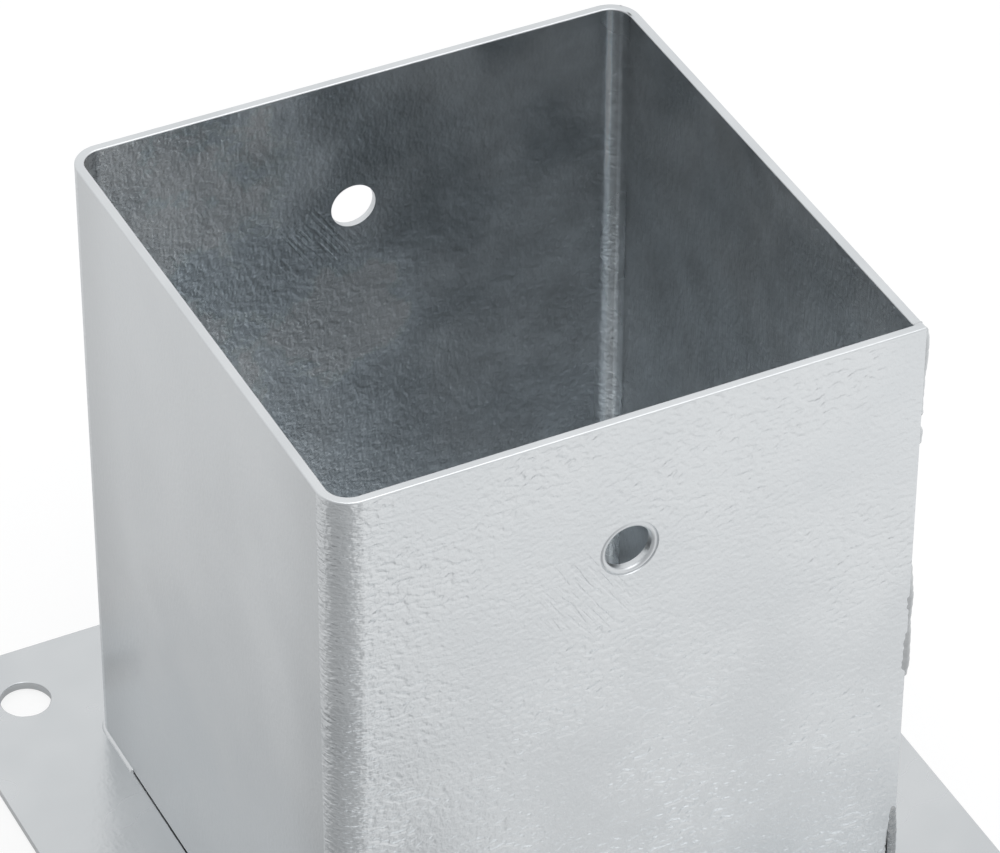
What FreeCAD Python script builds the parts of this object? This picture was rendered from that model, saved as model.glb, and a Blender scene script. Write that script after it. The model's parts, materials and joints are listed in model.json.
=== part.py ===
import FreeCAD, Part
import math
import os

# Timber post base: a square sleeve folded from one strip of sheet steel, stood on a square base plate
# and joined to it by small corner welds. The strip's two ends meet at one corner of the sleeve, where
# short weld runs close the seam. The whole is hot-dip galvanised after welding.
#
# Frame: origin at the centre of the base plate's underside, +Z up. The seam is at the (+X, -Y) corner,
# and the two holes for the post bolt are in the -Y and +Y walls.

Vector = FreeCAD.Vector
up = Vector(0, 0, 1)

# Driving dimensions, millimetres
socket_width = 121.0          # clear width between opposite walls of the sleeve
overall_height = 150.0        # underside of the plate to the rim
sheet = 2.0                   # thickness of the sleeve's strip
bend_inside_radius = 4.5      # three folded corners
seam_slit = 0.4               # left between the strip's two ends
rim_round = 0.35              # rim and seam edges, softened by the zinc

plate_side = 180.0
plate_thickness = 2.0
plate_corner_radius = 1.5
plate_hole_diameter = 11.0
plate_hole_pitch = 148.0      # between hole centres, both ways

post_hole_diameter = 10.0
post_hole_drop = 31.4         # rim to hole centre
post_hole_offset = -0.6       # along X: the strip was folded a little off its middle
post_hole_rollover = 1.05     # rounding of the mouth on the outer face

foot_gap = 0.5                # sleeve's lower edge to the plate, bridged only by the corner welds
foot_weld_leg = 0.65          # leg of the corner welds, on the plate and on the wall
foot_weld_crown = 0.07        # how far their face bulges past a straight one
foot_weld_root = 1.0          # how far the metal has run in under the sleeve
foot_weld_reach = 13.4        # straight run from a bend
foot_weld_turn = 30.0         # degrees that it goes on round the bend

# Seam welds: lowest and highest point of the bead, its radius near each of them, the length of its
# domed ends, and its centre line from the sharp outer corner, along X and Y. An end of length 0
# stands on the plate.
seam_welds = {
    "seam_weld_top": {
        "low": 127.3, "high": 149.2, "radius": (1.38, 1.8), "dome": (1.0, 3.2), "axis": (-0.3, 1.9)},
    "seam_weld_tack": {
        "low": 120.6, "high": 125.6, "radius": (1.6, 1.6), "dome": (2.2, 2.2), "axis": (-0.3, 1.9)},
    "seam_weld_middle": {
        "low": 61.3, "high": 93.5, "radius": (1.85, 1.75), "dome": (4.5, 9.5), "axis": (-0.3, 1.9)},
    "seam_weld_bottom": {
        "low": 2.0, "high": 30.5, "radius": (1.75, 1.65), "dome": (0, 8.0), "axis": (-0.9, 1.1)},
}
dome_steps = 4

# Derived sizes
inside = socket_width / 2
outside = inside + sheet
bend_radius = bend_inside_radius + sheet
bend_centre = inside - bend_inside_radius
sleeve_foot = plate_thickness + foot_gap
sleeve_height = overall_height - sleeve_foot
post_hole_height = overall_height - post_hole_drop


def line(start, end):
    return Part.makeLine(Vector(*start), Vector(*end))


def arc(start, middle, end):
    return Part.Arc(Vector(*start), Vector(*middle), Vector(*end)).toShape()


def bend_arc(x_side, y_side, radius, start_on_x):
    """Quarter turn round a folded corner, from the wall across X to the one across Y, or back."""
    centre_x = x_side * bend_centre
    centre_y = y_side * bend_centre
    diagonal = radius * 0.5 ** 0.5
    on_x = (centre_x + x_side * radius, centre_y, 0)
    middle = (centre_x + x_side * diagonal, centre_y + y_side * diagonal, 0)
    on_y = (centre_x, centre_y + y_side * radius, 0)
    return arc(on_x, middle, on_y) if start_on_x else arc(on_y, middle, on_x)


def make_base_plate():
    """Square plate with an anchor hole near each corner."""
    half = plate_side / 2
    blank = Part.makeBox(plate_side, plate_side, plate_thickness, Vector(-half, -half, 0))
    upright = [e for e in blank.Edges if abs(e.tangentAt(e.FirstParameter).z) > 0.5]
    plate = blank.makeFillet(plate_corner_radius, upright)
    for x_side in (-1, 1):
        for y_side in (-1, 1):
            centre = Vector(x_side * plate_hole_pitch / 2, y_side * plate_hole_pitch / 2, 0)
            plate = plate.cut(Part.makeCylinder(plate_hole_diameter / 2, plate_thickness, centre, up))
    return plate


def sleeve_outline(radius):
    """One side of the folded strip, seen from above: three bends and the sharp corner at the seam."""
    face = bend_centre + radius
    return Part.Wire([
        line((face, -face, 0), (-bend_centre, -face, 0)),
        bend_arc(-1, -1, radius, False),
        line((-face, -bend_centre, 0), (-face, bend_centre, 0)),
        bend_arc(-1, 1, radius, True),
        line((-bend_centre, face, 0), (bend_centre, face, 0)),
        bend_arc(1, 1, radius, False),
        line((face, bend_centre, 0), (face, -face, 0)),
    ])


def is_rim_edge(edge):
    """Top edges, and the sharp upright corner where the front wall's end is sheared."""
    box = edge.BoundBox
    on_top = box.ZMin > overall_height - 1e-6
    at_corner = box.XMin > outside - 1e-6 and box.YMax < -outside + 1e-6
    return on_top or at_corner


def make_tube():
    """The sleeve with its seam shut, and a hole for the post bolt through the front and back walls."""
    outlines = [sleeve_outline(bend_radius), sleeve_outline(bend_inside_radius)]
    section = Part.makeFace(outlines, "Part::FaceMakerBullseye")
    section.translate(Vector(0, 0, sleeve_foot))
    tube = section.extrude(Vector(0, 0, sleeve_height))
    tube = tube.makeFillet(rim_round, [e for e in tube.Edges if is_rim_edge(e)])
    start = Vector(post_hole_offset, -outside - 1, post_hole_height)
    drill = Part.makeCylinder(post_hole_diameter / 2, 2 * outside + 2, start, Vector(0, 1, 0))
    tube = tube.cut(drill)
    mouths = []
    for edge in tube.Edges:
        box = edge.BoundBox
        flat_on_face = box.YLength < 1e-3 and abs(abs(box.YMin) - outside) < 1e-3
        if flat_on_face and abs(box.ZLength - post_hole_diameter) < 1e-2:
            mouths.append(edge)
    return tube.makeFillet(post_hole_rollover, mouths)


def slit_between(low, high):
    """Space between the strip's two ends: the front wall covers the right wall's end."""
    return Part.makeBox(sheet, seam_slit, high - low, Vector(inside, -inside, low))


def dome_profile(height, radius, length, side):
    """Points from the end of a bead's full section to its tip, length further up or down."""
    points = []
    for step in range(1, dome_steps + 1):
        angle = math.radians(90 * step / dome_steps)
        points.append((radius * math.cos(angle), 0, height + side * length * math.sin(angle)))
    return points


def bead_body(low, high, radius, dome, axis):
    """Bead as a turned body: a slightly tapered round bar with domed ends, in a few conical steps."""
    radius_low, radius_high = radius
    dome_low, dome_high = dome
    start = low + dome_low
    end = high - dome_high
    points = [(radius_low, 0, start), (radius_high, 0, end)]
    points += dome_profile(end, radius_high, dome_high, 1)
    if dome_low:
        points += reversed(dome_profile(start, radius_low, dome_low, -1))
    else:
        points.append((0, 0, low))
    points.append(points[0])
    profile = Part.Face(Part.makePolygon([Vector(*point) for point in points]))
    body = profile.revolve(Vector(0, 0, 0), up, 360)
    body.translate(Vector(outside + axis[0], -outside + axis[1], 0))
    return body


def make_seam_weld(run, top, tube, foot_weld):
    """Bead over the seam, with the root that fills the slit behind it up to the given height."""
    socket = Part.makeBox(socket_width, socket_width, overall_height, Vector(-inside, -inside, 0))
    bead = bead_body(run["low"], run["high"], run["radius"], run["dome"], run["axis"])
    root = slit_between(run["low"], top).common(tube)
    return largest_solid(bead.cut(tube).cut(socket).fuse(root).cut(foot_weld))


def fillet_weld_section(inner):
    """Section of a foot weld in X and Z, with the wall's outer face at X = 0 and the plate below."""
    leg = foot_weld_leg
    bulge = leg / 2 + foot_weld_crown
    floor = plate_thickness
    edges = [
        line((-inner, 0, floor), (leg, 0, floor)),
        arc((leg, 0, floor), (bulge, 0, floor + bulge), (0, 0, floor + leg)),
    ]
    if inner > 0:
        edges.append(line((0, 0, floor + leg), (-inner, 0, floor + leg)))
        edges.append(line((-inner, 0, floor + leg), (-inner, 0, floor)))
    else:
        edges.append(line((0, 0, floor + leg), (0, 0, floor)))
    return Part.Face(Part.Wire(Part.__sortEdges__(edges)))


def straight_run(length):
    """Foot weld along +Y from the origin, on a wall that faces +X, with a rounded far end."""
    bar = fillet_weld_section(foot_weld_root).extrude(Vector(0, length, 0))
    end = fillet_weld_section(0).revolve(Vector(0, 0, 0), up, 90)
    end.translate(Vector(0, length, 0))
    return bar.fuse(end)


def make_foot_weld(x_side, y_side, sleeve, rounded):
    """Weld at one corner of the sleeve's foot, built along the +X wall from +Y and mirrored out."""
    corner = bend_centre if rounded else outside
    reach = foot_weld_reach if rounded else foot_weld_reach + bend_radius
    run = straight_run(reach).mirror(Vector(0, 0, 0), Vector(0, 1, 0))
    run.translate(Vector(outside, corner, 0))
    end = fillet_weld_section(0).revolve(Vector(0, 0, 0), up, 90)
    end.translate(Vector(outside - corner, 0, 0))
    if rounded:
        turn = fillet_weld_section(foot_weld_root)
        turn.translate(Vector(bend_radius, 0, 0))
        turn = turn.revolve(Vector(0, 0, 0), up, foot_weld_turn)
        end.rotate(Vector(0, 0, 0), up, foot_weld_turn)
        end = turn.fuse(end)
    end.translate(Vector(corner, corner, 0))
    weld = run.fuse(end)
    if x_side < 0:
        weld = weld.mirror(Vector(0, 0, 0), Vector(1, 0, 0))
    if y_side < 0:
        weld = weld.mirror(Vector(0, 0, 0), Vector(0, 1, 0))
    return largest_solid(weld.cut(sleeve).removeSplitter())


def largest_solid(shape):
    """The piece itself, without slivers that a cut leaves beside it."""
    return max(shape.Solids, key=lambda solid: solid.Volume)


def main():
    base_plate = make_base_plate()
    tube = make_tube()
    sleeve = tube.cut(slit_between(sleeve_foot, overall_height))
    pieces = {"base_plate": base_plate, "sleeve": sleeve}
    corners = {"front_left": (-1, -1), "back_left": (-1, 1), "back_right": (1, 1), "front_right": (1, -1)}
    for place, (x_side, y_side) in corners.items():
        rounded = place != "front_right"
        pieces["foot_weld_" + place] = make_foot_weld(x_side, y_side, sleeve, rounded)
    for name, run in seam_welds.items():
        top = overall_height if name == "seam_weld_top" else run["high"]
        pieces[name] = make_seam_weld(run, top, tube, pieces["foot_weld_front_right"])

    os.makedirs("parts", exist_ok=True)
    for name, piece in pieces.items():
        box = piece.BoundBox
        print("%-24s %s solids %d volume %.1f box %.2f %.2f %.2f to %.2f %.2f %.2f" % (
            name, "valid" if piece.isValid() else "NOT VALID", len(piece.Solids), piece.Volume,
            box.XMin, box.YMin, box.ZMin, box.XMax, box.YMax, box.ZMax))
        piece.exportStep("parts/" + name + ".step")


main()
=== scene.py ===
import json
import math

import bmesh
import bpy
from mathutils import Matrix, Quaternion, Vector, noise


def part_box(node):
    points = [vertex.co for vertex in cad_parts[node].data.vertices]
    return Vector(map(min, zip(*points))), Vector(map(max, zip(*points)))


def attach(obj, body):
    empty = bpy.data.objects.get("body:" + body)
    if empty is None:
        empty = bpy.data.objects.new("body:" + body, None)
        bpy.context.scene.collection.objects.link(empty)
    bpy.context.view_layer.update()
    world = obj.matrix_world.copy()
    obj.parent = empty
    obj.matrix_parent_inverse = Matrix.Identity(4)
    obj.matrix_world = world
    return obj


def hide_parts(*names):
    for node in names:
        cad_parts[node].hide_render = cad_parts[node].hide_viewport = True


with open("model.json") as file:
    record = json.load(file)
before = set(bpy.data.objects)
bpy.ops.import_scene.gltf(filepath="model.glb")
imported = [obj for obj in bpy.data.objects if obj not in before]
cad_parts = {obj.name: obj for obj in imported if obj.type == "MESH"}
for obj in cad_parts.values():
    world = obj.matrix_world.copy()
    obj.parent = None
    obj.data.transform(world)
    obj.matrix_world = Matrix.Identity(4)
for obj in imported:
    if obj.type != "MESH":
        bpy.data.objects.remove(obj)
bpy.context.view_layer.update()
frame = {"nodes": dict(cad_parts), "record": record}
mm = 0.001
up = Vector((0, 0, 1))
near = 0.01 * mm                 # places closer than this count as one
sharpAngle = math.radians(50)    # shaded sharp above this
squareAngle = math.radians(60)   # counted as a square edge above this

# sizes that the frame gives, in metres
plateLow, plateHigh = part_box("base_plate")
sleeveLow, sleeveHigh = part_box("sleeve")
mounts = {mount["name"]: mount for mount in frame["record"]["mounts"]}
outside = sleeveHigh.x
boltHole = mounts["post_bolt_hole"]
anchorHoles = mounts["anchor_holes"]
print("frame loaded, plate %.0f mm, sleeve %.0f mm wide" % (plateHigh.x * 2000, outside * 2000))


def vertsOf(grown):
    return [item for item in grown["geom"] if isinstance(item, bmesh.types.BMVert)]


def ringAt(bm, centre, axis, radius, sides):
    # a bare circle of edges square to axis
    turn = axis.to_track_quat("Z", "Y").to_matrix().to_4x4()
    made = bmesh.ops.create_circle(
        bm, cap_ends=False, radius=radius, segments=sides, matrix=Matrix.Translation(centre) @ turn)
    return list({edge for vert in made["verts"] for edge in vert.link_edges})


def punchFace(bm, face, centres, axis, radius, sides):
    # swaps one flat face for the same face with round holes in it
    outline = list(face.edges)
    bmesh.ops.delete(bm, geom=[face], context="FACES_ONLY")
    for centre in centres:
        outline += ringAt(bm, centre, axis, radius, sides)
    bmesh.ops.triangle_fill(bm, use_beauty=True, use_dissolve=False, edges=outline, normal=axis)


def roundEdges(bm, edges, width, steps):
    bmesh.ops.bevel(
        bm, geom=edges, offset=width, offset_type="OFFSET", affect="EDGES",
        segments=steps, profile=0.5, material=-1, clamp_overlap=False)


def mouthEdges(bm, centre, axis, radius):
    # the edges of a round hole that lie in the plane through centre
    found = []
    for edge in bm.edges:
        spokes = [vert.co - centre for vert in edge.verts]
        inPlane = all(abs(spoke.dot(axis)) < near for spoke in spokes)
        if inPlane and all(abs(spoke.length - radius) < near for spoke in spokes):
            found.append(edge)
    return found


def finishPiece(bm, name, materials, node):
    # closes the mesh, hands the piece to the frame and gives it even shading
    bmesh.ops.remove_doubles(bm, verts=bm.verts, dist=0.1 * near)
    bmesh.ops.recalc_face_normals(bm, faces=bm.faces)
    for face in bm.faces:
        face.smooth = True
    for edge in bm.edges:
        edge.smooth = edge.calc_face_angle(0) < sharpAngle
    mesh = bpy.data.meshes.new(name)
    bm.to_mesh(mesh)
    bm.free()
    for material in materials:
        mesh.materials.append(material)
    piece = bpy.data.objects.new(name, mesh)
    bpy.context.scene.collection.objects.link(piece)
    evenShading = piece.modifiers.new("evenShading", "WEIGHTED_NORMAL")
    evenShading.mode = "FACE_AREA"
    evenShading.weight = 80
    evenShading.keep_sharp = True
    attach(piece, "root")
    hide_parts(node)


def addNode(tree, kind, inputs, **settings):
    # a shader node with its settings, and its inputs as values or as links
    node = tree.nodes.new(kind)
    for key, value in settings.items():
        setattr(node, key, value)
    for key, value in inputs.items():
        if isinstance(value, bpy.types.NodeSocket):
            tree.links.new(value, node.inputs[key])
        else:
            node.inputs[key].default_value = value
    return node


def figure(tree, operation, *values):
    # arithmetic on sockets and numbers
    return addNode(tree, "ShaderNodeMath", dict(enumerate(values)), operation=operation).outputs[0]


def spread(tree, value, low, high, start=0.0, end=1.0):
    # eases from start to end while value goes from low to high
    eased = addNode(tree, "ShaderNodeMapRange", {
        "Value": value, "From Min": low, "From Max": high, "To Min": start, "To Max": end},
        interpolation_type="SMOOTHSTEP")
    return eased.outputs["Result"]


def cloudOf(tree, place, size, detail=2.0, rough=0.5):
    made = addNode(tree, "ShaderNodeTexNoise", {
        "Vector": place, "Scale": 1 / size, "Detail": detail, "Roughness": rough})
    return made.outputs["Fac"]


def drawnOut(tree, place, stretch, lean=0):
    # the same coordinates, leant over about Y and drawn out along their axes
    made = addNode(tree, "ShaderNodeMapping", {
        "Vector": place, "Rotation": (0, math.radians(lean), 0), "Scale": stretch}, vector_type="TEXTURE")
    return made.outputs["Vector"]


def partOf(tree, place, letter):
    # one coordinate of a place
    return addNode(tree, "ShaderNodeSeparateXYZ", {"Vector": place}).outputs[letter]


def product(tree, first, second):
    return figure(tree, "MULTIPLY", first, second)


def distanceFrom(tree, place, centre):
    made = addNode(tree, "ShaderNodeVectorMath", {0: place, 1: centre}, operation="DISTANCE")
    return made.outputs["Value"]


def toned(tree, colour, tint):
    # a colour or place multiplied by a tint or a level
    return addNode(tree, "ShaderNodeVectorMath", {0: colour, 1: tint}, operation="MULTIPLY").outputs[0]


# in each look, grain, waves, peel, creases and fringes are a size and a bump height in millimetres,
# and tones are multiplied onto the zinc's own colour
zincColour = {"dark": (0.715, 0.737, 0.752, 1), "pale": (0.765, 0.785, 0.798, 1)}

zincLooks = {
    # painted light: the tone of 1.05 makes the front and back walls lighter than the side walls of the
    # same sheet
    "sheetZinc": {
        "roughness": (0.30, 0.40), "tone": 1.05, "grain": (0.9, 0.16), "waves": (30, 0.28),
        "peel": (1.25, 0.17), "scratches": 0.10, "fringes": (0.8, 0.30)},
    "sheetZincSide": {
        "roughness": (0.30, 0.40), "grain": (1.2, 0.09), "waves": (30, 0.28), "sideShade": True},
    "sheetZincInside": {
        "roughness": (0.28, 0.40), "grain": (1.2, 0.10), "creases": (1.3, 0.12), "waves": (30, 0.2),
        "scratches": 0.022, "stainsAndShading": True},
    "sheetZincBend": {
        "roughness": (0.28, 0.36), "grain": (0.9, 0.16), "fringes": (0.8, 0.42), "paintedBendShade": True},
    "sheetZincBendInside": {
        "roughness": (0.26, 0.34), "grain": (1.2, 0.10), "stainsAndShading": True, "bendHighlightLines": True},
    "rimZinc": {"roughness": (0.36, 0.42)},
    "plateZinc": {"roughness": (0.22, 0.28), "tone": 0.912, "grain": (1.4, 0.04), "waves": (34, 0.14)},
    "weldZinc": {"roughness": (0.20, 0.28), "tone": 0.92, "grain": (0.7, 0.12), "creviceShade": 0.62},
}

# where the marks lie, in metres
stainAndShadingMarks = {
    "size": 13 * mm,
    "tone": (0.86, 1.12),
    "tint": (0.965, 0.985, 1.0),
    "leftPaintedShading": 1.50,                       # painted light: the inner face is paler towards the left wall
    "leftReach": (-outside, 20 * mm),
    "rightPaintedShade": 0.70,                      # painted shade: and darker on the right one
    "rightReach": (outside - 5 * mm, outside - 2.5 * mm),
    # painted light: a pale pool on the inner face under the bolt hole
    "paintedLightPatch": {"centre": Vector((-2, 60.5, 91)) * mm, "reach": 22 * mm, "tone": 1.45},
}

bendMarks = {
    # painted shade: a darker band round the outside of each bend
    "bendShadeTone": 0.985,
    "bendShadeBands": [                          # place, half width and soft edge
        (-2.2 * mm, 3.2 * mm, 2.0 * mm),
        (5.0 * mm, 0.2 * mm, 0.8 * mm)],
    "sideTone": 0.885,                      # painted shade: the side walls are darker beside a bend
    "sideReach": (6 * mm, 28 * mm),
    "footShadeTone": 0.95,                       # painted shade too, darker towards the plate
    "footReach": (0, 110 * mm),
    # painted highlights: bright lines down the inside of each bend
    "bendHighlightHeights": (60 * mm, 140 * mm),
    "bendHighlightLines": [                         # place, half width, soft edge, tone high up and low down
        (-2.2 * mm, 0.30 * mm, 0.9 * mm, 1.50, 1.12),
        (1.3 * mm, 0.25 * mm, 0.7 * mm, 1.18, 1.55),
        (3.0 * mm, 0.80 * mm, 0.7 * mm, 1.00, 1.25)],
}

reliefMarks = {
    "creaseDraw": (1, 1, 2),
    "fringeDraw": (2.4, 2.4, 1),
    "fringeFade": (5 * mm, 15 * mm),        # from the bend
    "seamFade": (70 * mm, 110 * mm),
    "peelDraw": (1.5, 1, 1),
    "peelPatches": 22 * mm,
    "peelFade": (-30 * mm, 50 * mm),        # along X
    "scratchWidth": 0.8 * mm,
    "scratchDraw": (1, 1, 9),
    "scratchLean": -34,
    "scratchCentre": Vector((-9, 0, 110.5)) * mm,
    "scratchReach": 15 * mm,
    # where the painted shade of the welds lies
    "creviceReach": (-outside - 0.4 * mm, -outside + 0.8 * mm),
}


def aroundBend(tree, place):
    # how far a point of a bend is from its middle, towards the left or right wall
    sideways = figure(tree, "ABSOLUTE", partOf(tree, place, "X"))
    frontways = figure(tree, "ABSOLUTE", partOf(tree, place, "Y"))
    return figure(tree, "SUBTRACT", sideways, frontways)


def seamFree(tree, place):
    # 1 at the folded corners, 0 at the welded one
    towardsSeam = figure(tree, "SUBTRACT", partOf(tree, place, "X"), partOf(tree, place, "Y"))
    return spread(tree, towardsSeam, *reliefMarks["seamFade"], 1, 0)


def band(tree, value, centre, half, soft):
    # 1 within half of the centre, easing to 0 over soft
    offset = figure(tree, "ABSOLUTE", figure(tree, "SUBTRACT", value, centre))
    return spread(tree, offset, half, half + soft, 1, 0)


def stainedAndShaded(tree, place, colour):
    # cloudy zinc stains on the inner face, with painted light towards the left wall, painted shade on the
    # right one and a painted pool of light under the bolt hole
    marks = stainAndShadingMarks
    patch = marks["paintedLightPatch"]
    clouds = cloudOf(tree, place, marks["size"], detail=5, rough=0.62)
    sideways = partOf(tree, place, "X")
    away = distanceFrom(tree, place, patch["centre"])
    level = spread(tree, clouds, 0.3, 0.7, *marks["tone"])
    # painted light towards the left wall and painted shade on the right one
    level = product(tree, level, spread(tree, sideways, *marks["leftReach"], marks["leftPaintedShading"], 1))
    level = product(tree, level, spread(tree, sideways, *marks["rightReach"], 1, marks["rightPaintedShade"]))
    # painted light: the pale patch under the bolt hole
    pale = spread(tree, away, 0.3 * patch["reach"], patch["reach"], patch["tone"], 1)
    level = product(tree, level, pale)
    return toned(tree, toned(tree, colour, marks["tint"]), level)


def paintedBendShade(tree, place, colour):
    # painted shade: a darker band round the outside of a bend, with a fine line beside it, standing in
    # for the dark reflection there
    across = aroundBend(tree, place)
    wide, fine = [band(tree, across, *sizes) for sizes in bendMarks["bendShadeBands"]]
    shadeBand = figure(tree, "MAXIMUM", wide, fine)
    return toned(tree, colour, spread(tree, shadeBand, 0, 1, 1, bendMarks["bendShadeTone"]))


def paintedBendHighlights(tree, place, colour):
    # painted highlights: bright lines down the inside of a bend
    across = aroundBend(tree, place)
    height = partOf(tree, place, "Z")
    for offset, half, soft, highTone, lowTone in bendMarks["bendHighlightLines"]:
        line = band(tree, across, offset, half, soft)
        strength = spread(tree, height, *bendMarks["bendHighlightHeights"], lowTone - 1, highTone - 1)
        colour = toned(tree, colour, figure(tree, "MULTIPLY_ADD", line, strength, 1))
    return colour


def shadedSide(tree, place, colour):
    # painted shade: darker beside the bends and towards the plate
    beside = spread(tree, aroundBend(tree, place), *bendMarks["sideReach"], bendMarks["sideTone"], 1)
    low = spread(tree, partOf(tree, place, "Z"), *bendMarks["footReach"], bendMarks["footShadeTone"], 1)
    return toned(tree, toned(tree, colour, beside), low)


def fringed(tree, place, size):
    # wrinkles across the bends, fading out along the walls
    level = drawnOut(tree, place, reliefMarks["fringeDraw"])
    across = figure(tree, "ABSOLUTE", aroundBend(tree, place))
    fade = product(tree, spread(tree, across, *reliefMarks["fringeFade"], 1, 0), seamFree(tree, place))
    return product(tree, cloudOf(tree, level, size, detail=1, rough=0.6), fade)


def peeled(tree, place, size):
    # orange peel in patches, finer towards the seam
    marks = reliefMarks
    drawn = drawnOut(tree, place, marks["peelDraw"])
    peel = spread(tree, cloudOf(tree, drawn, size, detail=0), 0.45, 0.80)
    patches = spread(tree, cloudOf(tree, place, marks["peelPatches"], detail=0), 0.3, 0.7, 0.25, 1)
    patches = product(tree, patches, spread(tree, partOf(tree, place, "X"), *marks["peelFade"], 1, 0.8))
    return product(tree, peel, patches)


def scratched(tree, place):
    # a group of slanted lines beside the bolt hole of the front and back walls
    marks = reliefMarks
    slanted = drawnOut(tree, place, marks["scratchDraw"], marks["scratchLean"])
    lines = spread(tree, cloudOf(tree, slanted, marks["scratchWidth"], detail=0), 0.5, 0.7)
    reach = marks["scratchReach"]
    flattened = toned(tree, place, (1, 0, 1))    # leaves out Y, so that both walls get them
    away = distanceFrom(tree, flattened, marks["scratchCentre"])
    return product(tree, lines, spread(tree, away, 0.3 * reach, reach, 1, 0))


def zincRelief(tree, place, look):
    # bump height in millimetres, from the fine grain up
    layers = []
    if "grain" in look:
        size, depth = look["grain"]
        layers.append((cloudOf(tree, place, size * mm, detail=1, rough=0.6), depth))
    if "waves" in look:
        size, depth = look["waves"]
        layers.append((cloudOf(tree, place, size * mm, detail=0), depth))
    if "creases" in look:
        size, depth = look["creases"]
        upright = drawnOut(tree, place, reliefMarks["creaseDraw"])
        layers.append((cloudOf(tree, upright, size * mm, detail=1), depth))
    if "fringes" in look:
        size, depth = look["fringes"]
        layers.append((fringed(tree, place, size * mm), depth))
    if "peel" in look:
        size, depth = look["peel"]
        layers.append((peeled(tree, place, size * mm), -depth))
    if "scratches" in look:
        layers.append((scratched(tree, place), -look["scratches"]))
    relief = 0
    for layer, depth in layers:
        relief = figure(tree, "MULTIPLY_ADD", layer, depth, relief)
    return relief


def zincMaterial(name, look):
    # hot-dip zinc: a cloudy tone and gloss over the relief
    material = bpy.data.materials.new(name)
    material.use_nodes = True
    tree = material.node_tree
    shader = tree.nodes["Principled BSDF"]
    shader.inputs["Metallic"].default_value = 1
    place = addNode(tree, "ShaderNodeTexCoord", {}).outputs["Object"]
    clouds = spread(tree, cloudOf(tree, place, 22 * mm, detail=2), 0.32, 0.68)
    share = look.get("tone", 1)
    dark, pale = [[part * share for part in zincColour[key][:3]] + [1] for key in ("dark", "pale")]
    colour = addNode(tree, "ShaderNodeMix", {0: clouds, 6: dark, 7: pale}, data_type="RGBA").outputs[2]
    # stains, with painted light and shade on the inner face
    if "stainsAndShading" in look:
        colour = stainedAndShaded(tree, place, colour)
    # painted shade round the outside of the bends
    if "paintedBendShade" in look:
        colour = paintedBendShade(tree, place, colour)
    # painted highlights down the inside of the bends
    if "bendHighlightLines" in look:
        colour = paintedBendHighlights(tree, place, colour)
    if "sideShade" in look:
        colour = shadedSide(tree, place, colour)
    if "creviceShade" in look:
        # painted shade: darker where a bead meets the front wall
        frontward = partOf(tree, place, "Y")
        shade = spread(tree, frontward, *reliefMarks["creviceReach"], look["creviceShade"], 1)
        colour = toned(tree, colour, shade)
    tree.links.new(colour, shader.inputs["Base Color"])
    tree.links.new(spread(tree, clouds, 0, 1, *look["roughness"]), shader.inputs["Roughness"])
    if "grain" in look:
        relief = zincRelief(tree, place, look)
        bump = addNode(tree, "ShaderNodeBump", {"Height": relief, "Distance": mm, "Strength": 1})
        tree.links.new(bump.outputs["Normal"], shader.inputs["Normal"])
    return material


zinc = {name: zincMaterial(name, look) for name, look in zincLooks.items()}
print("materials made")

# sleeve: one strip, folded at three corners
sleeveShape = {
    "sheet": 2.0 * mm,
    "bendRadius": 6.5 * mm,        # outside of the bend
    "bendSteps": 16,
    "slit": 0.4 * mm,              # between the strip's ends
    "holeSides": 96,
    "mouth": [                     # radius and depth of each ring, in millimetres
        (6.3, 0.0), (6.22, 0.12), (6.12, 0.26), (6.0, 0.22), (5.86, 0.06), (5.66, -0.02),
        (5.44, 0.03), (5.22, 0.16), (5.03, 0.38), (4.92, 0.7), (4.9, 1.3)],
    "mouthRipple": 0.05 * mm,
    "rippleSize": 2.5 * mm,
    "throatRings": 3,              # the last rings, which stay even
    "rimRound": 0.35 * mm,
    "rimSteps": 4,
}


def foldedSkin(bm, shape):
    # walks round the outside of the strip from the seam, then raises it to the rim
    straight = outside - shape["bendRadius"]
    wallEnds = [(-straight, -outside), (-outside, straight), (straight, outside),
                (outside, -outside + shape["sheet"] + shape["slit"])]
    bendCentres = [(-straight, -straight), (-straight, straight), (straight, straight)]
    foot = sleeveLow.z
    tip = bm.verts.new((outside, -outside, foot))
    for wall, wallEnd in enumerate(wallEnds):
        tip = bmesh.ops.extrude_vert_indiv(bm, verts=[tip])["verts"][0]
        tip.co = (*wallEnd, foot)
        if wall < len(bendCentres):
            centre = Vector((*bendCentres[wall], foot))
            spun = bmesh.ops.spin(
                bm, geom=[tip], cent=centre, axis=up, dvec=Vector(), angle=-math.pi / 2,
                steps=shape["bendSteps"], use_merge=False, use_duplicate=False)
            tip = [item for item in spun["geom_last"] if isinstance(item, bmesh.types.BMVert)][0]
    raised = bmesh.ops.extrude_edge_only(bm, edges=bm.edges[:])
    bmesh.ops.translate(bm, verts=vertsOf(raised), vec=up * (sleeveHigh.z - foot))


def rimEdges(bm, shape):
    # sharp top edges and the sheared upright corner, apart from those that face the slit
    inner = outside - shape["sheet"]
    found = []
    for edge in bm.edges:
        middle = (edge.verts[0].co + edge.verts[1].co) / 2
        onTop = all(vert.co.z > sleeveHigh.z - near for vert in edge.verts)
        atCorner = middle.x > outside - near and middle.y < -outside + near
        fromSlit = abs(middle.y + inner - shape["slit"] / 2)
        inSlit = middle.x > inner + near and fromSlit < shape["slit"]
        if (onTop or atCorner) and not inSlit and edge.calc_face_angle(0) > squareAngle:
            found.append(edge)
    return found


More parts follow.
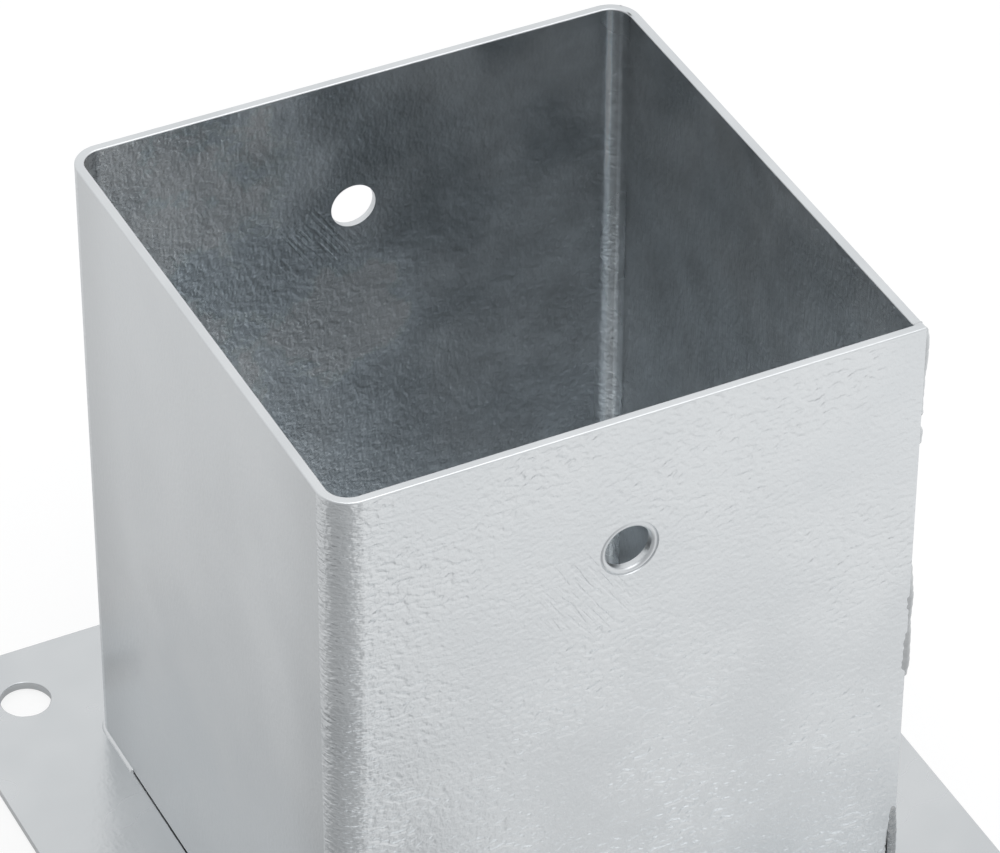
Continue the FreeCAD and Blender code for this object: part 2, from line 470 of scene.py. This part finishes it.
def shapeMouth(bm, centre, axis, radius, shape):
    # bevels the hole's outer edge, then lays the rings along the mouth: groove, lip and rollover
    rings = shape["mouth"]
    width = rings[0][0] * mm - radius
    roundEdges(bm, mouthEdges(bm, centre, axis, radius), width, len(rings) - 1)
    inward = -math.copysign(1, centre.y)
    for vert in bm.verts:
        spoke = vert.co - centre
        depth = spoke.dot(axis) * inward
        spoke -= axis * spoke.dot(axis)
        if spoke.length < radius + width + near and depth < width + near:
            turn = math.atan2(radius + width - spoke.length, width - depth) / (math.pi / 2)
            ring = round(turn * (len(rings) - 1))
            wide, deep = rings[ring]
            uneven = noise.noise(vert.co / shape["rippleSize"]) * shape["mouthRipple"]
            if ring == 0 or ring >= len(rings) - shape["throatRings"]:
                uneven = 0
            vert.co = centre + spoke.normalized() * wide * mm
            vert.co += axis * inward * (deep * mm + uneven)


sleeveFinishes = [
    "sheetZinc", "sheetZincSide", "sheetZincInside", "sheetZincBend", "sheetZincBendInside", "rimZinc"]


def chooseFinish(bm, centres, shape):
    # each face of the sleeve takes the finish of its place
    bm.normal_update()
    straight = outside - shape["bendRadius"]
    mouth = shape["mouth"][0][0] * mm
    for face in bm.faces:
        middle = face.calc_center_median()
        atSeam = middle.x - middle.y > outside
        onBend = min(abs(middle.x), abs(middle.y)) > straight - near and not atSeam
        inner = face.normal.dot(Vector((middle.x, middle.y, 0))) < 0
        nearMouth = any((middle - centre).length < mouth + near for centre in centres)
        if face.normal.z > 0.1 or nearMouth:
            finish = "rimZinc"
        elif onBend:
            finish = "sheetZincBendInside" if inner else "sheetZincBend"
        elif inner:
            finish = "sheetZincInside"
        elif abs(middle.x) > abs(middle.y):
            finish = "sheetZincSide"
        else:
            finish = "sheetZinc"
        face.material_index = sleeveFinishes.index(finish)


def makeSleeve(shape):
    bm = bmesh.new()
    foldedSkin(bm, shape)
    bmesh.ops.recalc_face_normals(bm, faces=bm.faces)
    hole = Vector(boltHole["pos_m"])
    radius = boltHole["dims"]["r_mm"] * mm
    boltAxis = Vector((0, 1, 0))
    centres = [Vector((hole.x, side * outside, hole.z)) for side in (-1, 1)]
    for centre in centres:
        wall = min(bm.faces, key=lambda face: (face.calc_center_median() - centre).length)
        punchFace(bm, wall, [centre], boltAxis * math.copysign(1, centre.y), radius, shape["holeSides"])
    bm.normal_update()
    if sum(face.normal.dot(face.calc_center_median() * Vector((1, 1, 0))) for face in bm.faces) < 0:
        bmesh.ops.reverse_faces(bm, faces=bm.faces)
    bmesh.ops.solidify(bm, geom=bm.faces[:] + bm.edges[:] + bm.verts[:], thickness=shape["sheet"])
    bm.normal_update()
    for centre in centres:
        shapeMouth(bm, centre, boltAxis, radius, shape)
    inner = outside - shape["sheet"]
    # cuts the front wall where the slit begins, so that the slit's own edges stay sharp
    bmesh.ops.bisect_plane(
        bm, geom=bm.faces[:] + bm.edges[:] + bm.verts[:], dist=0.01 * near,
        plane_co=(inner, 0, 0), plane_no=(1, 0, 0))
    roundEdges(bm, rimEdges(bm, shape), shape["rimRound"], shape["rimSteps"])
    chooseFinish(bm, centres, shape)
    finishes = [zinc[name] for name in sleeveFinishes]
    finishPiece(bm, "sleeve_sheet", finishes, "sleeve")


makeSleeve(sleeveShape)
print("sleeve made")

# base plate, with the zinc a little uneven round its holes
plateShape = {
    "cornerRadius": 1.5 * mm,
    "cornerSteps": 6,
    "holeSides": 96,
    "edgeRound": 0.3 * mm,
    "edgeSteps": 3,
    "lipReach": 0.875 * mm,
    "lipDepth": 0.16 * mm,
    "lipSize": 3.0 * mm,
    "lipDip": -0.2,                # the most that a lip draws back, as a share of its depth
}


def unevenLip(bm, centres, radius, shape):
    # draws the mouth of each hole in and out a little, as where zinc has run and set
    for vert in bm.verts:
        for centre in centres:
            spoke = (vert.co - centre) * Vector((1, 1, 0))
            if spoke.length < radius + shape["lipReach"]:
                swell = max(noise.noise(vert.co / shape["lipSize"]), shape["lipDip"])
                vert.co -= spoke.normalized() * swell * shape["lipDepth"]


def makePlate(shape):
    bm = bmesh.new()
    half = plateHigh.x
    top = plateHigh.z
    place = Matrix.Translation((0, 0, top))
    bmesh.ops.create_grid(bm, x_segments=1, y_segments=1, size=half, matrix=place)
    bmesh.ops.bevel(
        bm, geom=bm.verts[:], offset=shape["cornerRadius"], affect="VERTICES",
        segments=shape["cornerSteps"], profile=0.5, material=-1)
    pitch = anchorHoles["dims"]["spacing_x_mm"] * mm / 2
    radius = anchorHoles["dims"]["hole_r_mm"] * mm
    centres = [Vector((x * pitch, y * pitch, top)) for x in (-1, 1) for y in (-1, 1)]
    punchFace(bm, bm.faces[:][0], centres, up, radius, shape["holeSides"])
    bm.normal_update()
    if sum(face.normal.z for face in bm.faces) < 0:
        bmesh.ops.reverse_faces(bm, faces=bm.faces)
    bmesh.ops.solidify(bm, geom=bm.faces[:] + bm.edges[:] + bm.verts[:], thickness=top - plateLow.z)
    bm.normal_update()
    sharp = [edge for edge in bm.edges if edge.calc_face_angle(0) > squareAngle]
    roundEdges(bm, sharp, shape["edgeRound"], shape["edgeSteps"])
    unevenLip(bm, centres, radius, shape)
    finishPiece(bm, "base_plate_sheet", [zinc["plateZinc"]], "base_plate")


makePlate(plateShape)
print("plate made")

# seam welds: height and radius along each bead, in millimetres, and the place of its centre line
# from the sheet's sharp corner, at its high and low ends
beadShapes = {
    "seam_weld_top": {
        "axis": [(-0.3, 1.9), (-0.3, 1.9)],
        "radii": [(149.2, 0.3), (148.3, 1.50), (145.7, 1.82), (141.5, 1.74), (139.6, 1.59),
                  (136.9, 1.38), (131.9, 1.34), (129.8, 1.38), (128.5, 1.45), (127.4, 0.9),
                  (127.3, 0.3)]},
    "seam_weld_tack": {
        "axis": [(-0.3, 1.9), (-0.3, 1.9)],
        "radii": [(125.6, 0.3), (125.2, 1.2), (123.7, 1.61), (121.5, 1.45), (120.6, 0.3)]},
    "seam_weld_middle": {
        "axis": [(-0.3, 1.9), (-0.3, 1.5)],
        "radii": [(93.5, 0.3), (91.9, 1.06), (89.1, 1.34), (86.6, 1.53), (82.2, 1.78),
                  (79.0, 1.66), (76.6, 1.53), (71.5, 1.66), (66.0, 1.76), (62.6, 1.35),
                  (61.3, 0.3)]},
    "seam_weld_bottom": {
        "axis": [(-0.9, 1.1), (-0.9, 1.1)],
        "radii": [(30.5, 0.3), (28.5, 1.05), (26.5, 1.3), (20.4, 1.62), (14.0, 1.70),
                  (8.0, 1.75), (2.0, 1.78)]},
}

beadShape = {
    "sides": 40,
    "step": 0.3 * mm,              # between rings
    "rippleDepth": 0.07 * mm,
    "rippleLength": 2.3 * mm,
    "rippleSag": 0.9 * mm,
    "beat": 2.8,                   # how unevenly the ripples follow each other, in radians
    "beatLength": 3 * mm,
    "swellDepth": 0.12 * mm,
    "swellSize": 5 * mm,
    "clearOfSocket": 0.1 * mm,
}


def beadRadius(radii, height):
    # radius at a height, eased between the given ones
    for (above, wide), (below, narrow) in zip(radii, radii[1:]):
        if above >= height >= below:
            share = (height - below) / (above - below)
            share = share * share * (3 - 2 * share)
            return narrow + (wide - narrow) * share
    return radii[-1][1]


def rippled(vert, centre, shape):
    # a vertex of a bead moved out or in by its ripples, which sag in the middle as each one froze
    spoke = (vert.co - centre) * Vector((1, 1, 0))
    outward = spoke.normalized()
    sag = outward.dot(Vector((1, -1, 0)).normalized()) * shape["rippleSag"]
    beat = noise.noise(Vector((0, 0, vert.co.z / shape["beatLength"]))) * shape["beat"]
    ripple = math.sin((vert.co.z + sag) / shape["rippleLength"] * 2 * math.pi + beat)
    swell = noise.noise(vert.co / shape["swellSize"])
    grow = 0.5 * ripple * shape["rippleDepth"] + swell * shape["swellDepth"]
    vert.co += outward * grow * min(1, spoke.length / mm)    # the tips stay still


def growFace(bm, face):
    # raises a face by one ring and returns the new one
    grown = bmesh.ops.extrude_face_region(bm, geom=[face])
    bmesh.ops.delete(bm, geom=[face], context="FACES_ONLY")
    return [item for item in grown["geom"] if isinstance(item, bmesh.types.BMFace)][0]


def makeBead(bead, shape):
    bm = bmesh.new()
    highEnd, lowEnd = [Vector((outside + x * mm, -outside + y * mm, 0)) for x, y in bead["axis"]]
    high = bead["radii"][0][0] * mm
    low = bead["radii"][-1][0] * mm
    rings = round((high - low) / shape["step"])
    start = beadRadius(bead["radii"], low / mm) * mm
    made = bmesh.ops.create_circle(
        bm, cap_ends=True, radius=start, segments=shape["sides"],
        matrix=Matrix.Translation(lowEnd + up * low))
    top = made["verts"][0].link_faces[0]
    for ring in range(1, rings + 1):
        height = low + (high - low) * ring / rings
        radius = beadRadius(bead["radii"], height / mm) * mm
        top = growFace(bm, top)
        middle = top.calc_center_median()
        centre = lowEnd.lerp(highEnd, ring / rings) + up * height
        for vert in top.verts:
            vert.co = centre + (vert.co - middle).normalized() * radius
    for vert in bm.verts:
        rippled(vert, lowEnd.lerp(highEnd, (vert.co.z - low) / (high - low)), shape)
    inner = outside - sleeveShape["sheet"] + shape["clearOfSocket"]
    cut = bmesh.ops.bisect_plane(
        bm, geom=bm.faces[:] + bm.edges[:] + bm.verts[:], plane_co=(inner, 0, 0), plane_no=(1, 0, 0),
        clear_inner=True)
    rims = [item for item in cut["geom_cut"] if isinstance(item, bmesh.types.BMEdge)]
    if rims:
        bmesh.ops.holes_fill(bm, edges=rims, sides=0)
    return bm


def addRoot(bm, low, high):
    # metal that fills the slit up to the given height
    sheet = sleeveShape["sheet"]
    slit = sleeveShape["slit"]
    middle = Vector((outside - sheet / 2, -outside + sheet + slit / 2, (low + high) / 2))
    size = Matrix.Diagonal((sheet, slit, high - low, 1))
    bmesh.ops.create_cube(bm, size=1, matrix=Matrix.Translation(middle) @ size)


for node, bead in beadShapes.items():
    bm = makeBead(bead, beadShape)
    if node == "seam_weld_top":
        addRoot(bm, bead["radii"][-1][0] * mm, sleeveHigh.z)
    finishPiece(bm, node + "_bead", [zinc["weldZinc"]], node)
print("seam welds made")

# the foot welds keep their solids
for name, node in frame["nodes"].items():
    if name.startswith("foot_weld"):
        node.data.materials.clear()
        node.data.materials.append(zinc["weldZinc"])

# white room, dimmer at the front left, over pale paper with painted shade
studio = {
    "brightSide": (0.88, 0.885, 0.89, 1),
    "dimSide": (0.50, 0.51, 0.52, 1),
    "dimTowards": (-0.755, -0.656, 0.1),
    "dimReach": (0.1, 0.9),
    "floorSize": 6,
    "floorDrop": 0.05 * mm,               # clear of the plate's underside
    "paleTone": (0.93, 0.93, 0.93, 1),
    # painted shade: the paper is darker towards the front left
    "paintedShadeTone": (0.52, 0.525, 0.53, 1),
    "floorDimReach": (0.66, 0.92),
    "contactShadowTone": 0.84,                    # painted shadow: the paper is a little darker near the object
    "closeReach": (0.08, 0.30),
    "leftPaintedShading": 0.86,                     # painted shade: and darker on its left
    "leftTowards": (-1, 0.3, 0),
    "leftReach": (0.1, 0.8),
    "cameraGlow": 0.72,                   # share of plain white that the camera sees in the paper
    "glowLevel": 1.06,
    "mirrorGlow": 0.3,                    # and the share that the metal sees
    "mirrorLevel": 1.0,
}

softboxes = {
    "topSoftbox": {"towards": (0.10, -0.22, 0.97), "distance": 1.25, "size": 1.0, "radiance": 1.3},
}


def facing(tree, vector, towards):
    # 1 where vector points the given way, 0 where it is square to it
    straightened = addNode(tree, "ShaderNodeVectorMath", {0: vector}, operation="NORMALIZE").outputs[0]
    aim = Vector(towards).normalized()
    dot = addNode(tree, "ShaderNodeVectorMath", {0: straightened, 1: aim}, operation="DOT_PRODUCT")
    return dot.outputs["Value"]


def mixed(tree, share, start, end):
    # a colour between two colours
    return addNode(tree, "ShaderNodeMix", {0: share, 6: start, 7: end}, data_type="RGBA").outputs[2]


def layered(tree, share, under, over):
    return addNode(tree, "ShaderNodeMixShader", {0: share, 1: under.outputs[0], 2: over.outputs[0]})


def lightWorld(studio):
    world = bpy.data.worlds.new("studioWorld")
    bpy.context.scene.world = world
    world.use_nodes = True
    tree = world.node_tree
    background = tree.nodes["Background"]
    look = addNode(tree, "ShaderNodeTexCoord", {}).outputs["Generated"]
    dimness = spread(tree, facing(tree, look, studio["dimTowards"]), *studio["dimReach"])
    light = mixed(tree, dimness, studio["brightSide"], studio["dimSide"])
    tree.links.new(light, background.inputs["Color"])
    background.inputs["Strength"].default_value = 1


def hangSoftbox(name, box):
    lamp = bpy.data.lights.new(name, "AREA")
    lamp.shape = "SQUARE"
    lamp.size = box["size"]
    lamp.energy = box["radiance"] * math.pi * box["size"] ** 2
    holder = bpy.data.objects.new(name, lamp)
    bpy.context.scene.collection.objects.link(holder)
    direction = Vector(box["towards"]).normalized()
    aim = Vector((0, 0, sleeveHigh.z / 2))
    holder.location = aim + direction * box["distance"]
    holder.rotation_mode = "QUATERNION"
    holder.rotation_quaternion = direction.to_track_quat("Z", "Y")


def paperMaterial(studio):
    # pale paper that takes the shadow, with painted shade at the front left, near the object and on its
    # left, lifted to plain white for the camera
    material = bpy.data.materials.new("floorPaper")
    material.use_nodes = True
    tree = material.node_tree
    tree.nodes.remove(tree.nodes["Principled BSDF"])
    place = addNode(tree, "ShaderNodeTexCoord", {}).outputs["Object"]
    # painted shade on the paper: darker towards the front left, near the object and on its left
    dimSide = facing(tree, place, (*studio["dimTowards"][:2], 0))
    dimness = spread(tree, dimSide, *studio["floorDimReach"])
    tone = mixed(tree, dimness, studio["paleTone"], studio["paintedShadeTone"])
    away = distanceFrom(tree, place, (0, 0, 0))
    contactShadow = spread(tree, away, *studio["closeReach"], studio["contactShadowTone"], 1)
    leftSide = facing(tree, place, studio["leftTowards"])
    leftShade = spread(tree, leftSide, *studio["leftReach"], 1, studio["leftPaintedShading"])
    colour = toned(tree, toned(tree, tone, contactShadow), leftShade)
    paper = addNode(tree, "ShaderNodeBsdfDiffuse", {"Color": colour})
    white = addNode(tree, "ShaderNodeBsdfDiffuse", {"Color": studio["paleTone"]})
    glow = addNode(tree, "ShaderNodeEmission", {"Color": (1, 1, 1, 1), "Strength": studio["glowLevel"]})
    shine = addNode(tree, "ShaderNodeEmission", {"Color": colour, "Strength": studio["mirrorLevel"]})
    rays = addNode(tree, "ShaderNodeLightPath", {}).outputs
    mirrored = figure(tree, "MAXIMUM", rays["Is Glossy Ray"], rays["Is Transmission Ray"])
    reflected = layered(tree, product(tree, mirrored, studio["mirrorGlow"]), paper, shine)
    lifted = layered(tree, studio["cameraGlow"], white, glow)
    seen = layered(tree, rays["Is Camera Ray"], reflected, lifted)
    tree.links.new(seen.outputs[0], tree.nodes["Material Output"].inputs["Surface"])
    return material


def makeFloor(studio):
    bm = bmesh.new()
    place = Matrix.Translation((0, 0, plateLow.z - studio["floorDrop"]))
    bmesh.ops.create_grid(bm, x_segments=1, y_segments=1, size=studio["floorSize"], matrix=place)
    mesh = bpy.data.meshes.new("floor")
    bm.to_mesh(mesh)
    bm.free()
    floor = bpy.data.objects.new("floor", mesh)
    bpy.context.scene.collection.objects.link(floor)
    mesh.materials.append(paperMaterial(studio))


cameraView = {
    "target": Vector((8.5, 11.0, 92.8)) * mm,
    "azimuth": -26.513,
    "elevation": 38.310,
    "roll": 0.228,
    "distance": 1.105,
    "lens": 196.64,
}


def makeCamera(view):
    azimuth = math.radians(view["azimuth"])
    elevation = math.radians(view["elevation"])
    level = math.cos(elevation)
    back = Vector((math.sin(azimuth) * level, -math.cos(azimuth) * level, math.sin(elevation)))
    camera = bpy.data.objects.new("camera", bpy.data.cameras.new("camera"))
    bpy.context.scene.collection.objects.link(camera)
    camera.data.lens = view["lens"]
    camera.location = view["target"] + back * view["distance"]
    camera.rotation_mode = "QUATERNION"
    roll = Quaternion((0, 0, 1), math.radians(view["roll"]))
    camera.rotation_quaternion = back.to_track_quat("Z", "Y") @ roll
    bpy.context.scene.camera = camera


lightWorld(studio)
makeFloor(studio)
for name, box in softboxes.items():
    hangSoftbox(name, box)
makeCamera(cameraView)
bpy.context.scene.view_settings.view_transform = "Standard"
print("stage made")
